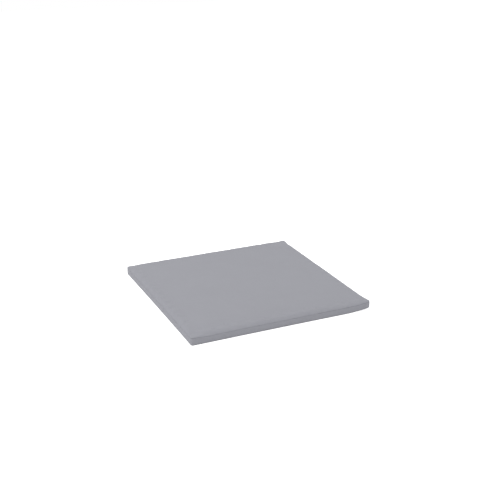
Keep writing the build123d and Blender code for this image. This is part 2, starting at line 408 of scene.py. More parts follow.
# %% [markdown]
# ## The grid of the top panel
#
# The top panel lies flat on the foam and comes down over its soft edge to the upper seam. Its rows are close
# together over the shoulder, where the form turns, and about 3 mm apart on the flat. One line of the grid
# runs where the band will end at the back. Even rows would be simpler, but would waste points on the flat.

# %% Rows of the top panel
shoulder_rows = 9
flat_spacing = 2.8 * MM
band_return = 20 * MM


def shoulder_insets():
    """Insets of the rows over the shoulder, close together where it is steep."""
    angles = np.radians(np.linspace(0, 90, shoulder_rows))
    return list(fold_inset + shoulder_strip * (1 - np.cos(angles)))


def flat_insets(start, spacing):
    """Insets of the rows from a start to the middle of the pad."""
    count = int(round((half_width - start) / spacing))
    return list(np.linspace(start, half_width, count + 1))


insets = shoulder_insets()
flat = flat_insets(band_return, flat_spacing)
insets += [(insets[-1] + flat[0]) / 2] + flat
x, y, top_ring, top_size = square_grid(insets)
top_inset = np.array(insets)[top_ring]
top_points = np.column_stack([x, y, top_level(x, y, top_inset)])
border = border_of(insets)
print("top panel:", len(top_points), "points in", top_size, "rows")

# %% [markdown]
# ## Cloth simulation
#
# A sewn cover isn't geometry that one can draw: the cloth is held at its seams and by the foam, and it swells
# and creases a little in between. Blender's Cloth works that out. The seams and the flat of the top are
# pinned, the cloth is cut slightly too large, and a gentle pressure stands for the foam that pushes it out.
# Afterwards no point may have moved further than a cap, so the pad keeps its size.

# %% Cloth helper
cloth_frames = 20
canvas_feel = {"mass": 0.3, "shear_stiffness": 8, "bending_stiffness": 0.4}
canvas_feel |= {"tension_stiffness": 20, "compression_stiffness": 20}
how_simulated = {"quality": 6, "pin_stiffness": 1, "use_pressure": True}


def puff(name, points, faces, pins, spare, pressure, cap):
    """Shape a sheet with the Cloth simulation, and limit how far each point moves to the cap."""
    sheet = new_mesh(name, points, faces)
    before = np.empty(points.size)
    sheet.data.vertices.foreach_get("co", before)
    before = before.reshape(-1, 3)
    held = sheet.vertex_groups.new(name="held")
    for weight in np.unique(pins):
        held.add(np.flatnonzero(pins == weight).tolist(), float(weight), "REPLACE")
    cloth = sheet.modifiers.new("cloth", "CLOTH")
    for setting, value in (canvas_feel | how_simulated).items():
        setattr(cloth.settings, setting, value)
    cloth.settings.vertex_group_mass = held.name
    cloth.settings.shrink_min = -spare
    cloth.settings.uniform_pressure_force = pressure
    cloth.settings.effector_weights.gravity = 0
    cloth.collision_settings.use_collision = False
    cloth.point_cache.frame_end = cloth_frames
    for step in range(1, cloth_frames + 1):
        bpy.context.scene.frame_set(step)
    shaped = sheet.evaluated_get(bpy.context.evaluated_depsgraph_get()).to_mesh()
    after = np.empty(points.size)
    shaped.vertices.foreach_get("co", after)
    move = after.reshape(-1, 3) - before
    length = np.linalg.norm(move, axis=1, keepdims=True)
    move *= cap * np.tanh(length / cap) / np.maximum(length, TINY)
    bpy.data.objects.remove(sheet)
    bpy.context.scene.frame_set(1)
    print(name, "moved up to", round(float(length.max()) / MM, 2), "mm, kept within", cap / MM)
    return before + move


print("simulation:", f"{cloth_frames} frames for each sheet")

# %% [markdown]
# ## Making the panels
#
# After the simulation, the rim of the top panel gets three more rows that roll under the edge and run in
# behind the seam. Seen from outside they make the groove that every plain seam has, because the band below
# does the same. A groove could be painted on with bump, but a real one also shows in the outline. A Solidify
# modifier then gives the cloth its thickness, inward, so the outside stays put. Each point keeps its place in
# the flat cloth as a UV, in metres, so the weave follows the cloth.

# %% Panel helpers
def joined_rows(rows):
    """Faces between closed rows of point indices, each row below the one before it."""
    faces = []
    for upper, lower in zip(rows[:-1], rows[1:]):
        faces.append(np.stack([upper, lower, np.roll(lower, -1), np.roll(upper, -1)], axis=-1))
    return np.concatenate(faces)


def cloth_uv(piece, flat):
    """Store each point's place in the flat cloth, in metres, as the piece's UV map."""
    layer = piece.data.uv_layers.new(name="cloth")
    point_of = np.empty(len(piece.data.loops), dtype=int)
    piece.data.loops.foreach_get("vertex_index", point_of)
    layer.data.foreach_set("uv", np.asarray(flat)[point_of].ravel())


def thicken(piece, thickness):
    """Give a sheet its thickness with a Solidify modifier, away from the side that its faces look to."""
    solid = piece.modifiers.new("thickness", "SOLIDIFY")
    solid.thickness = thickness
    solid.offset = -1


def panel(name, flat, shaped, size, border, hems, flip=False):
    """A panel of cloth from a shaped square grid, with hem rows beyond its border."""
    rim = border[0]
    rows = [rim] + [len(shaped) + i * len(rim) + np.arange(len(rim)) for i in range(len(hems))]
    points = np.vstack([shaped] + [settle(row) for row in hems])
    faces = np.vstack([grid_faces(size, size), joined_rows(rows)])
    piece = new_mesh(name, points, faces[:, ::-1] if flip else faces)
    cloth_uv(piece, np.vstack([flat] + hems)[:, :2])
    thicken(piece, cloth_thickness)
    print(name, len(points), "points")
    return piece


# %% Top panel
dent_waves = ((0.22 * MM, 8, 120 * MM), (0.10 * MM, 9, 45 * MM))
dents_full_at = 2 * shoulder_strip
pins_begin = 1.2 * shoulder_strip
hem_reach = 7 * MM
hem_lifts = ((0.5, 1), (0.13, 0), (1.6, 0))  # in folds, and whether a corner's pinch opens the row
top_hem_insets = (fold_inset + 0.2 * MM, fold_inset + 0.8 * MM, hem_reach)

wander = seam_wander(top_points[:, 0], top_points[:, 1]) * (top_ring < shoulder_rows)
start = settle(top_points + np.column_stack([np.zeros((len(wander), 2)), wander]))
dents = uneven(start[:, 0], start[:, 1], dent_waves)
start[:, 2] += dents * np.clip(top_inset / dents_full_at, 0, 1)
pins = np.clip((top_inset - pins_begin) / shoulder_strip, 0, 1).round(1)
pins[top_ring == 0] = 1
top_faces = grid_faces(top_size, top_size)
swollen = puff("top_panel_sheet", start, top_faces, pins, spare=0.006, pressure=1.5, cap=0.7 * MM)

hems = []
for inset, (lift, pinched) in zip(top_hem_insets, hem_lifts):
    row = rim_row(border, inset, 0)
    x, y = row[:, 0], row[:, 1]
    row[:, 2] = seam_level(x, y) + seam_wander(x, y) + fold(x, y, lift, pinched)
    hems.append(row)
top_panel = panel("pad_top_panel", top_points, swollen, top_size, border, hems)

# %% [markdown]
# ## The side band
#
# The band is a straight strip that runs round the left, the front and the right, turns both back corners and
# ends where the zip starts. Its cloth bulges a little between the seams, where the foam presses, and lies
# flat at the corners, where the seams hold it stiff. Its ends are folded under and sewn down on the zip
# tapes. A closed tube couldn't end at the zip, so the band is a stack of open rows beside the top panel's
# border, with its seam edges turned in like the panel's.

# %% Rows of the band
band_rows = 13
band_bulge = 0.5 * MM
bulge_fullness = 0.7
band_hem_insets = (0.2 * MM, 0.9 * MM, hem_reach)
on_edge = 0.999  # a border's back row lies at 1

_, place_x, place_y = border
zip_from = half_width - band_return - flat_spacing / 2
on_back = (place_y > on_edge) & (np.abs(place_x) * half_width < zip_from)
order = np.roll(np.arange(len(on_back)), -np.flatnonzero(on_back)[0])
order = order[~on_back[order]]


def band_row(inset, share, lift, pinched):
    """A row of the band, a share of the way from the lower seam to the upper, lifted by the seam's fold."""
    row = rim_row(border, inset, lower_seam)
    held = ear(row[:, 0], row[:, 1])[:, None]
    row = row * (1 - held) + rim_row(border, max(inset, 0.0), lower_seam) * held
    x, y = row[:, 0], row[:, 1]
    height = seam_level(x, y) + seam_wander(x, y) - lower_seam
    row[:, 2] += height * share + fold(x, y, lift, pinched)
    row = row[order]
    sewn = (row[:, 1] > half_depth) & (np.abs(row[:, 0]) < half_width - corner_radius)
    flatness = np.clip((half_width - np.abs(row[:, 0])) / band_return, 0, 1)
    row[:, 1] -= np.where(sewn, (row[:, 1] - half_depth) * flatness, 0)
    return row


hem = list(zip(band_hem_insets, hem_lifts))
strip = [band_row(inset, 0.0, lift, 0) for inset, (lift, _) in reversed(hem)]
for share in np.linspace(0, 1, band_rows):
    bulge = band_bulge * math.sin(math.pi * share) ** bulge_fullness
    strip.append(band_row(-bulge, share, 1 - 2 * share, share))
strip += [band_row(inset, 1.0, -lift, pinched) for inset, (lift, pinched) in hem]
strip = np.array(strip)
strip_rows, strip_columns = strip.shape[:2]
print("side band:", strip_columns, "columns of", strip_rows, "points")

# %% Side band
seam_rows = len(hem) + 1
end_columns = 2
end_fold = ((0.25 * MM, 0.3 * MM), (0.15 * MM, 0.12 * MM))  # out and back, from the fold inwards
ruled_row = 5  # the flat cloth is measured along this row and this column
ruled_column = 9


def lengths_along(line):
    """Distance of each point of a line from its start."""
    return np.concatenate([[0], np.cumsum(np.linalg.norm(np.diff(line, axis=0), axis=1))])


pins = np.zeros((strip_rows, strip_columns))
pins[:seam_rows] = pins[-seam_rows:] = 1
pins[:, :end_columns] = pins[:, -end_columns:] = 1
pins = np.maximum(pins, ear(strip[:, :, 0], strip[:, :, 1])).round(1).ravel()
start = settle(strip.reshape(-1, 3))
strip_faces = grid_faces(strip_rows, strip_columns, flip=True)
bulged = puff("side_band_sheet", start, strip_faces, pins, spare=0.008, pressure=1.0, cap=0.4 * MM)
bulged = bulged.reshape(strip_rows, strip_columns, 3)

ends = []
for column, inward in ((bulged[:, 0], 1), (bulged[:, -1], -1)):
    ends.append([column + np.array([inward * out, -back, 0]) for out, back in end_fold])
wide = np.stack(ends[0] + list(bulged.transpose(1, 0, 2)) + ends[1][::-1], axis=1)
side_band = new_mesh("pad_side_band", wide.reshape(-1, 3), grid_faces(*wide.shape[:2], flip=True))
along = lengths_along(strip[ruled_row])
across = lengths_along(strip[:, ruled_column])
length = np.pad(along, len(end_fold), mode="edge")
cloth_uv(side_band, np.stack(np.meshgrid(length, across), axis=-1).reshape(-1, 2))
thicken(side_band, cloth_thickness)
print("side band:", round(float(along[-1]), 3), "m long")

# %% [markdown]
# ## The bottom panel
#
# The bottom panel lies flat on the ground, so it needs no simulation. Its edge turns up to the lower seam in
# a small roll, and only the curled corner lifts it. It is built like the top one, from fewer rows: a single
# face would do for a flat sheet, but it couldn't follow the curl.

# %% Bottom panel
edge_roll = ((fold_inset, 1.5 * MM), (fold_inset + 0.2 * MM, 0.95 * MM))  # inset and height
edge_roll += ((1.2 * MM, 0.4 * MM), (2.6 * MM, 0.1 * MM), (4.5 * MM, 0.0))
bottom_flat_from = 8 * MM
bottom_spacing = 7 * MM
bottom_hems = ((fold_inset + 0.9 * MM, 1.9 * MM), (hem_reach, 1.8 * MM))

bottom_insets = [inset for inset, _ in edge_roll] + flat_insets(bottom_flat_from, bottom_spacing)
heights = [height for _, height in edge_roll]
heights += [0.0] * (len(bottom_insets) - len(heights))
x, y, bottom_ring, bottom_size = square_grid(bottom_insets)
bottom_points = np.column_stack([x, y, np.array(heights)[bottom_ring]])
bottom_border = border_of(bottom_insets)
hems = [rim_row(bottom_border, inset, height) for inset, height in bottom_hems]
bottom_panel = panel(
    "pad_bottom_panel", bottom_points, settle(bottom_points), bottom_size, bottom_border, hems, flip=True
)

# %% [markdown]
# ## Foam and seam threads
#
# Nobody sees the foam or the lockstitch threads in the finished pad, but they are real pieces, and they must
# follow the cover up into the curled corner, or they would poke out under it. The CAD's straight ones don't
# bend. The foam is a closed slab with the same shoulder, a little below the cloth. Each thread is a closed
# curve with a round bevel, turned into a mesh.

# %% Foam slab
foam_depth = cloth_thickness + 0.7 * MM
foam_flat_from = 24 * MM
foam_spacing = 9 * MM
foam_bottom = 1.2 * MM

foam_insets = [foam_depth + inset for inset in shoulder_insets()]
foam_insets += flat_insets(foam_flat_from, foam_spacing)
x, y, foam_ring, foam_size = square_grid(foam_insets)
foam_height = top_level(x, y, np.array(foam_insets)[foam_ring] - foam_depth, foam_depth)
foam_top = np.column_stack([x, y, foam_height])
foam_base = np.column_stack([x, y, np.full(len(x), foam_bottom)])
foam_rim = border_of(foam_insets)[0]
faces = grid_faces(foam_size, foam_size)
side = joined_rows([foam_rim, foam_rim + len(foam_top)])
foam = new_mesh(
    "foam_slab",
    settle(np.vstack([foam_top, foam_base])),
    np.vstack([faces, faces[:, ::-1] + len(foam_top), side]),
)
print(foam.name, len(foam.data.vertices), "points")


# %% Seam threads
def thread_piece(name, node):
    """A closed thread at the inset and level of a CAD thread, following the settled cover."""
    low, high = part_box(node)
    radius = (high[2] - low[2]) / 2
    line = rim_row(bottom_border, half_width - high[0] + radius, (low[2] + high[2]) / 2)
    if line[0, 2] > (lower_seam + upper_seam) / 2:
        line[:, 2] += seam_level(line[:, 0], line[:, 1]) - upper_seam
    line = settle(line)
    curve = bpy.data.curves.new(name, "CURVE")
    curve.dimensions = "3D"
    curve.bevel_depth = radius
    curve.bevel_resolution = 1
    spline = curve.splines.new("POLY")
    spline.points.add(len(line) - 1)
    spline.points.foreach_set("co", np.column_stack([line, np.ones(len(line))]).ravel())
    spline.use_cyclic_u = True
    return as_mesh(name, new_object(name, curve))


threads = {}
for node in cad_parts:
    if node.endswith("_thread"):
        threads[node] = thread_piece("pad_" + node, node)
print("threads:", len(threads))

# %% [markdown]
# ## The weave
#
# Canvas is a plain weave: each yarn goes over one and under the next. Zip tape is a twill, whose crossings
# step sideways and make slanting ribs. A weave could be modelled yarn by yarn, but that takes millions of
# faces for something this fine, so a pattern gives the bump instead. Two sine waves across the cloth make the
# crowns of the yarns, and their product, or for a twill the sine of their sum, says which yarn lies on top.

# %% Weave helper
def weave_height(tree, across, along, twill=False):
    """Height of a weave from 0 to 1, from two numbers that grow by one with each yarn."""
    warp_turn = add(tree, "ShaderNodeMath", (across, math.pi), operation="MULTIPLY")
    weft_turn = add(tree, "ShaderNodeMath", (along, math.pi), operation="MULTIPLY")
    warp = add(tree, "ShaderNodeMath", [warp_turn], operation="SINE")
    weft = add(tree, "ShaderNodeMath", [weft_turn], operation="SINE")
    if twill:
        lean = add(tree, "ShaderNodeMath", (warp_turn, weft_turn), operation="ADD")
        both = add(tree, "ShaderNodeMath", [lean], operation="SINE")
    else:
        both = add(tree, "ShaderNodeMath", (warp, weft), operation="MULTIPLY")
    crowns = []
    for yarn, side in ((warp, 0.5), (weft, -0.5)):
        crown_of = add(tree, "ShaderNodeMath", [yarn], operation="ABSOLUTE")
        over = add(tree, "ShaderNodeMath", (both, side, 0.5), operation="MULTIPLY_ADD")
        crowns.append(add(tree, "ShaderNodeMath", (crown_of, over), operation="MULTIPLY"))
    return add(tree, "ShaderNodeMath", (crowns[0], crowns[1]), operation="MAXIMUM")


print("plain weave and twill both repeat every second yarn")

# %% [markdown]
# ## Cloth materials
#
# The cover is a light-grey polyester canvas, and the zip's tape is a finer twill. The UV map is in metres, so
# a pitch is a real size. Real yarns here are about 0.5 mm apart, too fine to show when the whole pad is in
# view, so they are drawn at 1 mm. To the eye, woven spun yarn is matt, a little streaky along both yarns,
# and cloudy where it has been used: noise stretched along each yarn gives the streaks, and noise of about
# 70 mm the clouds. The colour also carries painted shade from the weave's height: darker in the hollows
# between the yarns and lighter on their crowns. A little sheen brightens the cloth at grazing angles, as
# fibre ends do.

# %% Cloth material
slub_stretch = 0.02  # a slub is as thick as a yarn and fifty times as long
slub_noise = {"Scale": 0.9, "Detail": 3, "Roughness": 0.6}
cloud_size = 500 * MM / 7
cloud_noise = {"Scale": 1 / cloud_size, "Detail": 4, "Roughness": 0.55}
cloud_share = 0.8
# painted shade: this share of the weave's height makes the colour darker between the yarns and lighter on
# their crowns
weave_shade_share = 0.35
tone_range = {"From Min": 0.9, "From Max": 2.1, "To Min": 0, "To Max": 1}


def cloth_material(name, colours, pitch, relief, roughness, sheen, twill=False):
    """A woven cloth with its dark and light tone, its yarn pitch and the height of its yarns, in metres."""
    material, tree = new_material(name)
    place = add(tree, "ShaderNodeUVMap", uv_map="cloth")
    scaled = add(tree, "ShaderNodeVectorMath", {0: place, "Scale": 1 / pitch}, operation="SCALE")
    yarns = add(tree, "ShaderNodeSeparateXYZ", [scaled]).outputs
    height = weave_height(tree, yarns[0], yarns[1], twill)

    slubs = []
    for stretch in ((slub_stretch, 1, 1), (1, slub_stretch, 1)):
        pulled = add(tree, "ShaderNodeVectorMath", (scaled, stretch), operation="MULTIPLY")
        slubs.append(add(tree, "ShaderNodeTexNoise", {"Vector": pulled, **slub_noise}))
    streaks = add(tree, "ShaderNodeMath", (slubs[0], slubs[1]), operation="ADD")
    clouds = add(tree, "ShaderNodeTexNoise", {"Vector": place, **cloud_noise})
    worn = add(tree, "ShaderNodeMath", (clouds, cloud_share, streaks), operation="MULTIPLY_ADD")
    # painted shade from the weave's height, added to the streaks and clouds of wear
    tone = add(tree, "ShaderNodeMath", (height, weave_shade_share, worn), operation="MULTIPLY_ADD")
    spread = add(tree, "ShaderNodeMapRange", {"Value": tone, **tone_range})
    ends = {6: linear(colours[0]), 7: linear(colours[1])}
    colour = add(tree, "ShaderNodeMix", {0: spread, **ends}, data_type="RGBA").outputs[2]
    bump = add(tree, "ShaderNodeBump", {"Height": height, "Strength": 0.5, "Distance": relief})
    fibres = {"Sheen Weight": sheen, "Sheen Roughness": 0.5, "Specular IOR Level": 0.3}
    finish = {"Base Color": colour, "Roughness": roughness, "Normal": bump, **fibres}
    surface = add(tree, "ShaderNodeBsdfPrincipled", finish)
    add(tree, "ShaderNodeOutputMaterial", [surface])
    return material


canvas_size = {"pitch": 1.0 * MM, "relief": 0.12 * MM}
tape_size = {"pitch": 0.7 * MM, "relief": 0.08 * MM}
cover_canvas = cloth_material(
    "polyester canvas, plain weave", ("#94949B", "#999AA1"), roughness=0.9, sheen=0.12, **canvas_size
)
tape_twill = cloth_material(
    "polyester tape, twill weave", ("#8C8C93", "#96969D"), roughness=0.85, sheen=0.1, twill=True, **tape_size
)
print("cloths:", cover_canvas.name, "and", tape_twill.name)

# %% [markdown]
# ## Thread, foam, nylon and metal
#
# Thread is spun from fine fibres, so it is matt with a soft uneven tone. The foam is open-celled: small round
# cells that a Voronoi texture gives. The coil of the zip is one nylon wire, drawn smooth and a little
# translucent, so it is glossier than the tape. The slider, the stops and the pull are cast zinc with a dull
# nickel finish: a metal whose roughness varies where hands have rubbed it. All four are one recipe, in which
# one texture over Object coordinates, sized in millimetres, gives both the tone and the relief.

# %% Other materials
rub_size = 1.6 * MM
rub_range = {"From Min": 0.3, "From Max": 0.7, "To Min": 0.27, "To Max": 0.44}


def fine_material(name, colours, shader, grain_size, relief, cells=False, rubbed=False):
    """A material whose tone and relief come from one noise or cell texture over Object coordinates."""
    material, tree = new_material(name)
    place = add(tree, "ShaderNodeTexCoord").outputs["Object"]
    kind = "ShaderNodeTexVoronoi" if cells else "ShaderNodeTexNoise"
    grain = add(tree, kind, {"Vector": place, "Scale": 1 / grain_size})
    ends = {6: linear(colours[0]), 7: linear(colours[1])}
    colour = add(tree, "ShaderNodeMix", {0: grain, **ends}, data_type="RGBA").outputs[2]
    bump = add(tree, "ShaderNodeBump", {"Height": grain, "Strength": 0.4, "Distance": relief})
    if rubbed:
        rub = add(tree, "ShaderNodeTexNoise", {"Vector": place, "Scale": 1 / rub_size, "Detail": 4})
        shader = {**shader, "Roughness": add(tree, "ShaderNodeMapRange", {"Value": rub, **rub_range})}
    surface = add(tree, "ShaderNodeBsdfPrincipled", {"Base Color": colour, "Normal": bump, **shader})
    add(tree, "ShaderNodeOutputMaterial", [surface])
    return material


matt_fibres = {"Roughness": 0.8, "Sheen Weight": 0.1}
dull = {"Roughness": 0.95}
glossy = {"Roughness": 0.38, "IOR": 1.53, "Subsurface Weight": 0.1}
translucent = {"Subsurface Radius": (1, 1, 1), "Subsurface Scale": 0.5 * MM}
metal = {"Metallic": 1.0}

spun_thread = fine_material(
    "spun polyester thread", ("#94949B", "#A6A6AD"), matt_fibres, grain_size=0.6 * MM, relief=0.05 * MM
)
foam_cells = fine_material(
    "open-cell polyurethane foam",
    ("#CFCFC4", "#E0E0D8"),
    dull,
    grain_size=1.5 * MM,
    relief=0.4 * MM,
    cells=True,
)
nylon_wire = fine_material(
    "nylon monofilament, drawn and coiled",
    ("#8E8E95", "#A2A2A9"),
    {**glossy, **translucent},
    grain_size=6 * MM,
    relief=0.02 * MM,
)
cast_zinc = fine_material(
    "cast zinc with a dull nickel finish",
    ("#86868A", "#9C9B9A"),
    metal,
    grain_size=9 * MM,
    relief=0.01 * MM,
    rubbed=True,
)
print("materials:", len(bpy.data.materials))

# %% [markdown]
# ## Zip tapes
#
# Each half of the zip is a flat woven tape. One edge is sewn into the seam of the cover and the other carries
# the coil. Sewn tape dips a little between the stitches, and a flat strip would leave the seam where that
# rises. So each tape is a grid whose rows share out the height between the seam and the coil. Past the stops,
# where there is no chain, the two tapes close on one another.

# %% Zip tapes
tape_thickness = 0.5 * MM
tapes_meet = 0.15 * MM
tape_dip = 0.12 * MM
dip_length = 40 * MM
tape_columns = 160
closing_columns = 5
tape_rows = 5
closing_length = 1.2 * MM
turned_edge = ((-7.0, -0.15), (-1.1, -0.1), (-0.3, 0.05), (0.0, 0.5))  # back and down, in mm
chain_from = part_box("zip_bottom_stop")[0][0] + closing_length
chain_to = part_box("zip_top_stop_upper")[1][0] - closing_length
zip_middle = (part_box("zip_tape_upper")[0][2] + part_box("zip_tape_lower")[1][2]) / 2


def zip_tape(name, node, seam_side, seed):
    """One tape, from the seam that it is sewn into to the free edge under its coil."""
    low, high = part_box(node)
    face = high[1]
    seam, free = (high[2], low[2]) if seam_side > 0 else (low[2], high[2])
    closing = np.linspace(0, closing_length, closing_columns)
    even = np.linspace(low[0], high[0], tape_columns)
    x = np.sort(np.concatenate([even, chain_from - closing, chain_to + closing]))
    edge = seam_level(x, np.full_like(x, half_depth)) if seam_side > 0 else np.full_like(x, seam)
    past_stops = np.clip(np.maximum(chain_from - x, x - chain_to) / closing_length, 0, 1)
    closed = past_stops * (free - zip_middle - seam_side * tapes_meet)
    rows = [(edge - seam_side * drop * MM, face + back * MM) for back, drop in turned_edge]
    sewn = rows[-1][0]
    for share in np.linspace(0, 1, tape_rows + 1)[1:]:
        rows.append((sewn * (1 - share) + (free - closed) * share, face))
    z = np.stack([level for level, _ in rows], axis=1)
    y = np.tile([place for _, place in rows], (len(x), 1))
    x = np.tile(x[:, None], (1, len(rows)))
    y -= tape_dip * np.clip(1 + waves(x, z, seed, dip_length), 0, 2)
    points = np.column_stack([x.ravel(), y.ravel(), z.ravel()])
    piece = new_mesh(name, points, grid_faces(*x.shape, flip=seam_side < 0), tape_twill)
    cloth_uv(piece, points[:, [0, 2]])
    thicken(piece, tape_thickness)
    return piece


tapes = {
    "zip_tape_upper": zip_tape("zip_tape_top_half", "zip_tape_upper", 1, seed=21),
    "zip_tape_lower": zip_tape("zip_tape_bottom_half", "zip_tape_lower", -1, seed=22),
}
print("tapes:", [tape.name for tape in tapes.values()])

# %% [markdown]
# ## Wire and thread along a path
#
# The teeth of this zip are one nylon wire, wound into a flat helix, and a bar tack is a thread laid in a
# zigzag. Both follow a rule, so Geometry Nodes make them, rather than hundreds of points placed by hand. A
# line of points, with the same number for each turn or pass, is moved onto the path and given a round
# section. The two trees differ only in their sizes and their path. The result is kept as a plain mesh.

# %% Path tree
wire_sides = 6


def path_tree(name, repeats, points_each, sizes, path):
    """A tree that makes a wire or thread: the path adds nodes for X, Y and Z from a point's number."""
    tree = bpy.data.node_groups.new(name, "GeometryNodeTree")
    kinds = {"Start": "NodeSocketVector", repeats: "NodeSocketInt", "Material": "NodeSocketMaterial"}
    for size in ("Start", repeats, *sizes, "Thickness", "Material"):
        kind = kinds.get(size, "NodeSocketFloat")
        tree.interface.new_socket(size, in_out="INPUT", socket_type=kind)
    tree.interface.new_socket("Geometry", in_out="OUTPUT", socket_type="NodeSocketGeometry")
    given = tree.nodes.new("NodeGroupInput").outputs
    count = add(tree, "ShaderNodeMath", (given[repeats], points_each), operation="MULTIPLY")
    line = add(tree, "GeometryNodeMeshLine", {"Count": count, "Offset": (0, 0, 0)})
    drawn = add(tree, "GeometryNodeMeshToCurve", [line])
    index = add(tree, "GeometryNodeInputIndex")
    shift = add(tree, "ShaderNodeCombineXYZ", path(tree, given, index, count))
    final = add(tree, "ShaderNodeVectorMath", (shift, given["Start"]), operation="ADD")
    bent = add(tree, "GeometryNodeSetPosition", {"Geometry": drawn, "Position": final})
    radius = add(tree, "ShaderNodeMath", (given["Thickness"], 0.5), operation="MULTIPLY")
    ring = add(tree, "GeometryNodeCurvePrimitiveCircle", {"Resolution": wire_sides, "Radius": radius})
    wire = add(tree, "GeometryNodeCurveToMesh", {"Curve": bent, "Profile Curve": ring, "Fill Caps": True})
    real = add(tree, "GeometryNodeRealizeInstances", [wire])
    done = add(tree, "GeometryNodeSetMaterial", {0: real, "Material": given["Material"]})
    add(tree, "NodeGroupOutput", [done])
    return tree


def grown(name, tree, **inputs):
    """Run a node tree with its inputs by name, and return its result as a plain mesh object."""
    seed = new_object(name + "_seed", bpy.data.meshes.new(name + "_seed"))
    grow = seed.modifiers.new("grow", "NODES")
    grow.node_group = tree
    for item in tree.interface.items_tree:
        if item.in_out == "INPUT":
            grow[item.identifier] = inputs[item.name]
    piece = as_mesh(name, seed)
    piece.data.shade_smooth()
    return piece


print("a wire has", wire_sides, "sides")

# %% [markdown]
# ## Zip coils
#
# A coil has twelve points to each turn. Two waves make the turn, flattened so that the wire lies along the
# tape above and below, as a pressed coil does. The wire steps to its next turn at the back, behind the teeth.
# Half a pitch between the two coils lets their heads lie in one another's gaps.

# %% Coil path
coil_points = 12
coil_flatness = 1.6  # a higher one presses the round turn flatter
step_range = {"From Min": 0.3, "From Max": 0.7, "To Min": 0, "To Max": 1}


def coil_path(tree, given, index, count):
    """X, Y and Z of a flat helix along X."""
    turns = add(tree, "ShaderNodeMath", (index, coil_points), operation="DIVIDE")
    whole = add(tree, "ShaderNodeMath", [turns], operation="FLOOR")
    part = add(tree, "ShaderNodeMath", [turns], operation="FRACT")
    angle = add(tree, "ShaderNodeMath", (part, 2 * math.pi), operation="MULTIPLY")
    step = add(tree, "ShaderNodeMapRange", {"Value": part, **step_range}, interpolation_type="SMOOTHSTEP")
    place = add(tree, "ShaderNodeMath", (whole, step), operation="ADD")
    path = [add(tree, "ShaderNodeMath", (place, given["Pitch"]), operation="MULTIPLY")]
    for wave, size in (("SINE", "Height"), ("COSINE", "Width")):
        swing = add(tree, "ShaderNodeMath", [angle], operation=wave)
        pressed = add(tree, "ShaderNodeMath", (swing, coil_flatness), operation="MULTIPLY")
        pressed = add(tree, "ShaderNodeMath", [pressed], operation="TANH")
        half = 0.5 / math.tanh(coil_flatness)
        pressed = add(tree, "ShaderNodeMath", (pressed, half), operation="MULTIPLY")
        path.append(add(tree, "ShaderNodeMath", (pressed, given[size]), operation="MULTIPLY"))
    return path


wound = path_tree("wound coil", "Turns", coil_points, ("Pitch", "Width", "Height"), coil_path)
print(wound.name, "has", len(wound.nodes), "nodes")

# %% The two coils
wire_thickness = 0.45 * MM
coil_pitch = 1.25 * MM
coils = {}
for node, flip, shift in (("zip_coil_upper", -1, 0.0), ("zip_coil_lower", 1, 0.5)):
    low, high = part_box(node)
    turns = int((high[0] - low[0] - wire_thickness) / coil_pitch)
    middle = (np.array(low) + np.array(high)) / 2
    coils[node] = grown(
        node.replace("zip_coil", "zip_wire"),
        wound,
        Start=(low[0] + wire_thickness / 2 + shift * coil_pitch, middle[1], middle[2]),
        Turns=turns,
        Pitch=coil_pitch,
        Width=flip * (high[2] - low[2] - wire_thickness),
        Height=high[1] - low[1] - wire_thickness,
        Thickness=wire_thickness,
        Material=nylon_wire,
    )
    print(coils[node].name, turns, "turns", len(coils[node].data.polygons), "faces")

# %% [markdown]
# ## End stitches
#
# Past each end of the zip, two bar tacks hold both tapes and the band together, so that the ends can't tear
# out. A bar tack is a dense zigzag of thread: a short row of points that swing from side to side and rise a
# little between their ends. The pair at each end becomes one mesh, as it is one CAD node.

# %% Zigzag path
tack_points = 6


def zigzag_path(tree, given, index, count):
    """X, Y and Z of a zigzag up Z, which bulges towards +Y."""
    turn = add(tree, "ShaderNodeMath", (index, math.pi / tack_points), operation="MULTIPLY")
    swing = add(tree, "ShaderNodeMath", [turn], operation="SINE")
    lift = add(tree, "ShaderNodeMath", [turn], operation="COSINE")
    bulge = add(tree, "ShaderNodeMath", [lift], operation="ABSOLUTE")
    half = add(tree, "ShaderNodeMath", (given["Width"], 0.5), operation="MULTIPLY")
    x = add(tree, "ShaderNodeMath", (swing, half), operation="MULTIPLY")
    y = add(tree, "ShaderNodeMath", (bulge, given["Rise"]), operation="MULTIPLY")
    share = add(tree, "ShaderNodeMath", (index, count), operation="DIVIDE")
    z = add(tree, "ShaderNodeMath", (share, given["Length"]), operation="MULTIPLY")
    return x, y, z


zigzag = path_tree("bar tack", "Passes", tack_points, ("Length", "Width", "Rise"), zigzag_path)
print(zigzag.name, "has", len(zigzag.nodes), "nodes")

# %% Bar tacks
tack_margin = 0.2 * MM
tack_sizes = {"Width": 1.7 * MM, "Rise": 0.2 * MM, "Passes": 24, "Thickness": 0.32 * MM}


def joined(name, objects):
    """Several mesh objects joined into one mesh object."""
    whole = bmesh.new()
    for one in objects:
        whole.from_mesh(one.data)
    mesh = bpy.data.meshes.new(name)
    whole.to_mesh(mesh)
    whole.free()
    mesh.materials.append(objects[0].data.materials[0])
    mesh.shade_smooth()
    for one in objects:
        bpy.data.objects.remove(one)
    return new_object(name, mesh)


tacks = {}
for node in ("zip_end_stitches_left", "zip_end_stitches_right"):
    low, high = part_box(node)
    sizes = {"Length": high[2] - low[2], "Material": spun_thread, **tack_sizes}
    pair = []
    for x in (low[0] + tack_margin, high[0] - tack_margin):
        pair.append(grown("bar_tack", zigzag, Start=(x, low[1], low[2]), **sizes))
    tacks[node] = joined(node.replace("zip_end_stitches", "zip_bar_tacks"), pair)
print("bar tacks:", [tack.name for tack in tacks.values()])

# %% [markdown]
# ## Slider, stops and pull
#
# These are small castings and pressings, and the CAD shapes are right as they are, but a real casting has no
# razor edges. They could be modelled again, but a copy keeps their sizes: its loose triangles are merged, and
# a narrow bevel rounds its edges, which catch the light as real ones do.

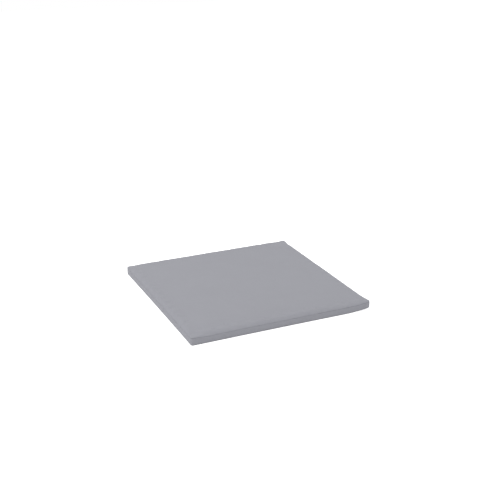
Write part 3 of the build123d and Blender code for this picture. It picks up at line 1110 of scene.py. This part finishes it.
# %% Metal pieces
cast_nodes = ("zip_slider", "zip_pull", "zip_top_stop_upper", "zip_top_stop_lower", "zip_bottom_stop")
slider_edge = 0.22 * MM
small_edge = 0.2 * MM
merge_within = 0.002 * MM
flat_within = math.radians(1)
smooth_up_to = math.radians(30)
bevel_from = math.radians(35)


def cast_copy(name, node, width):
    """A copy of a CAD node with its doubles merged and its edges rounded by a width."""
    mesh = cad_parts[node].data.copy()
    mesh.name = name
    shape = bmesh.new()
    shape.from_mesh(mesh)
    bmesh.ops.remove_doubles(shape, verts=shape.verts, dist=merge_within)
    bmesh.ops.dissolve_limit(shape, angle_limit=flat_within, verts=shape.verts, edges=shape.edges)
    shape.to_mesh(mesh)
    shape.free()
    mesh.materials.clear()
    mesh.materials.append(cast_zinc)
    mesh.shade_smooth()
    mesh.set_sharp_from_angle(angle=smooth_up_to)
    piece = new_object(name, mesh)
    edge = piece.modifiers.new("rounded edges", "BEVEL")
    edge.width = width
    edge.segments = 2
    edge.limit_method = "ANGLE"
    edge.angle_limit = bevel_from
    edge.harden_normals = True
    return piece


castings = {}
for node in cast_nodes:
    width = slider_edge if node == "zip_slider" else small_edge
    castings[node] = cast_copy(node.replace("zip_", "zip_metal_"), node, width)
print("castings:", len(castings))

# %% [markdown]
# ## Riding on the frame
#
# Every piece rides on the CAD body that it belongs to and stands for the CAD nodes that it covers, which are
# hidden. The filler cords inside the coils are CAD parts of the right shape, so they only get their thread.

# %% Pieces and bodies
def belongs(piece, node, body="cover"):
    """Ride on a body and stand for a node, whose CAD part is hidden."""
    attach(piece, body)
    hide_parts(node)


for piece in (top_panel, side_band, bottom_panel):
    piece.data.materials.append(cover_canvas)
foam.data.materials.append(foam_cells)
belongs(top_panel, "top_panel")
belongs(side_band, "side_band")
belongs(bottom_panel, "bottom_panel")
belongs(foam, "foam_core")
for node, piece in threads.items():
    piece.data.materials.append(spun_thread)
for group, slot_name in ((threads, "thread"), (tapes, "zip_tape"), (coils, "zip_coil"), (tacks, "thread")):
    for node, piece in group.items():
        belongs(piece, node)
moving = {"zip_slider": "slider", "zip_pull": "pull"}
for node, piece in castings.items():
    belongs(piece, node, body=moving.get(node, "cover"))
for node in ("zip_cord_upper", "zip_cord_lower"):
    for material_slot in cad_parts[node].material_slots:
        material_slot.material = spun_thread

# %% [markdown]
# ## Floor
#
# The floor is a large pale sheet with no edge in view. It scatters light as matt card does and keeps the
# pad's shadow. Brighter lamps could turn it white, but they would bleach the pad too. Instead it glows a
# little for the camera and for reflections alone, so that, away from the shadow, it is as white as the
# background behind it.

# %% Studio floor
SEEN_DIRECTLY = ("Is Camera Ray", "Is Glossy Ray", "Is Transmission Ray")
floor_reach = 6.0
floor_drop = 0.1 * MM
floor_glow = 0.8


def seen_directly(tree):
    """One for rays from the camera, from reflections and through glass, and zero for light itself."""
    path = add(tree, "ShaderNodeLightPath").outputs
    total = path[SEEN_DIRECTLY[0]]
    for name in SEEN_DIRECTLY[1:]:
        total = add(tree, "ShaderNodeMath", (total, path[name]), operation="MAXIMUM")
    return total


white_card, tree = new_material("matt white card, studio floor")
matt = add(tree, "ShaderNodeBsdfDiffuse", {"Color": linear("#EEEEEE")})
glow = add(tree, "ShaderNodeEmission", {"Color": linear("#FFFFFF"), "Strength": floor_glow})
lit = add(tree, "ShaderNodeAddShader", (matt, glow))
shown = add(tree, "ShaderNodeMixShader", (seen_directly(tree), matt, lit))
add(tree, "ShaderNodeOutputMaterial", [shown])

corners = [(x * floor_reach, y * floor_reach, -floor_drop) for x, y in ((-1, -1), (1, -1), (1, 1), (-1, 1))]
floor = new_mesh("studio_floor", corners, [(0, 1, 2, 3)], white_card, smooth=False)
print("floor:", 2 * floor_reach, "m wide")

# %% [markdown]
# ## Light
#
# The world gives an even white light from all round, as a light tent does. One wide soft lamp straight from
# the left, well above the pad, makes the top and the left side brighter than the front. A small hard lamp
# would draw a sharp shadow, which a light tent doesn't have.

# %% World and key lamp
tent_strength = 0.96
lamp_power = 5.2
lamp_width = 1.4
lamp_away = 1.7
lamp_from = Vector((-0.78, 0.0, 0.62)).normalized()

world = bpy.data.worlds.new("light tent")
bpy.context.scene.world = world
world.use_nodes = True
tree = world.node_tree
tree.nodes.clear()
tent = add(tree, "ShaderNodeBackground", {"Color": linear("#FFFFFF"), "Strength": tent_strength})
backdrop = add(tree, "ShaderNodeBackground", {"Color": linear("#FFFFFF"), "Strength": 1.0})
mixed = add(tree, "ShaderNodeMixShader", (seen_directly(tree), tent, backdrop))
add(tree, "ShaderNodeOutputWorld", [mixed])

lamp = bpy.data.lights.new("key lamp", "AREA")
lamp.energy = lamp_power
lamp.size = lamp_width
key_lamp = new_object("key_lamp", lamp)
key_lamp.location = lamp_from * lamp_away
key_lamp.rotation_euler = lamp_from.to_track_quat("Z", "Y").to_euler()
print("lamp from", tuple(round(part, 2) for part in lamp_from))

# %% [markdown]
# ## Camera
#
# The camera looks down at the pad from the front left with a longish lens, which keeps the far side nearly as
# wide as the near one. It looks past the pad's middle, so that the pad lies low in the frame with room above.
# The offsets say how far right and up of the pad's middle it looks, as shares of the frame's width.

# %% Camera
lens = 66.5
sensor = 36.0
azimuth = math.radians(-24.87)
elevation = math.radians(21.09)
distance = 5.024 * 2 * half_width
offset_right = 0.01354
offset_up = 0.07328
aim_height = 11 * MM

camera_data = bpy.data.cameras.new("camera")
camera_data.lens = lens
camera_data.sensor_width = sensor
camera = new_object("camera", camera_data)
level = math.cos(elevation)
back = Vector((math.sin(azimuth) * level, -math.cos(azimuth) * level, math.sin(elevation)))
turn = back.to_track_quat("Z", "Y")
right = turn @ Vector((1, 0, 0))
up = turn @ Vector((0, 1, 0))
frame_width = distance * sensor / lens
aim = Vector((0, 0, aim_height)) + (right * offset_right + up * offset_up) * frame_width
camera.location = aim + back * distance
camera.rotation_euler = turn.to_euler()
bpy.context.scene.camera = camera
bpy.context.scene.view_settings.view_transform = "Standard"
print("camera at", tuple(round(part, 3) for part in camera.location))
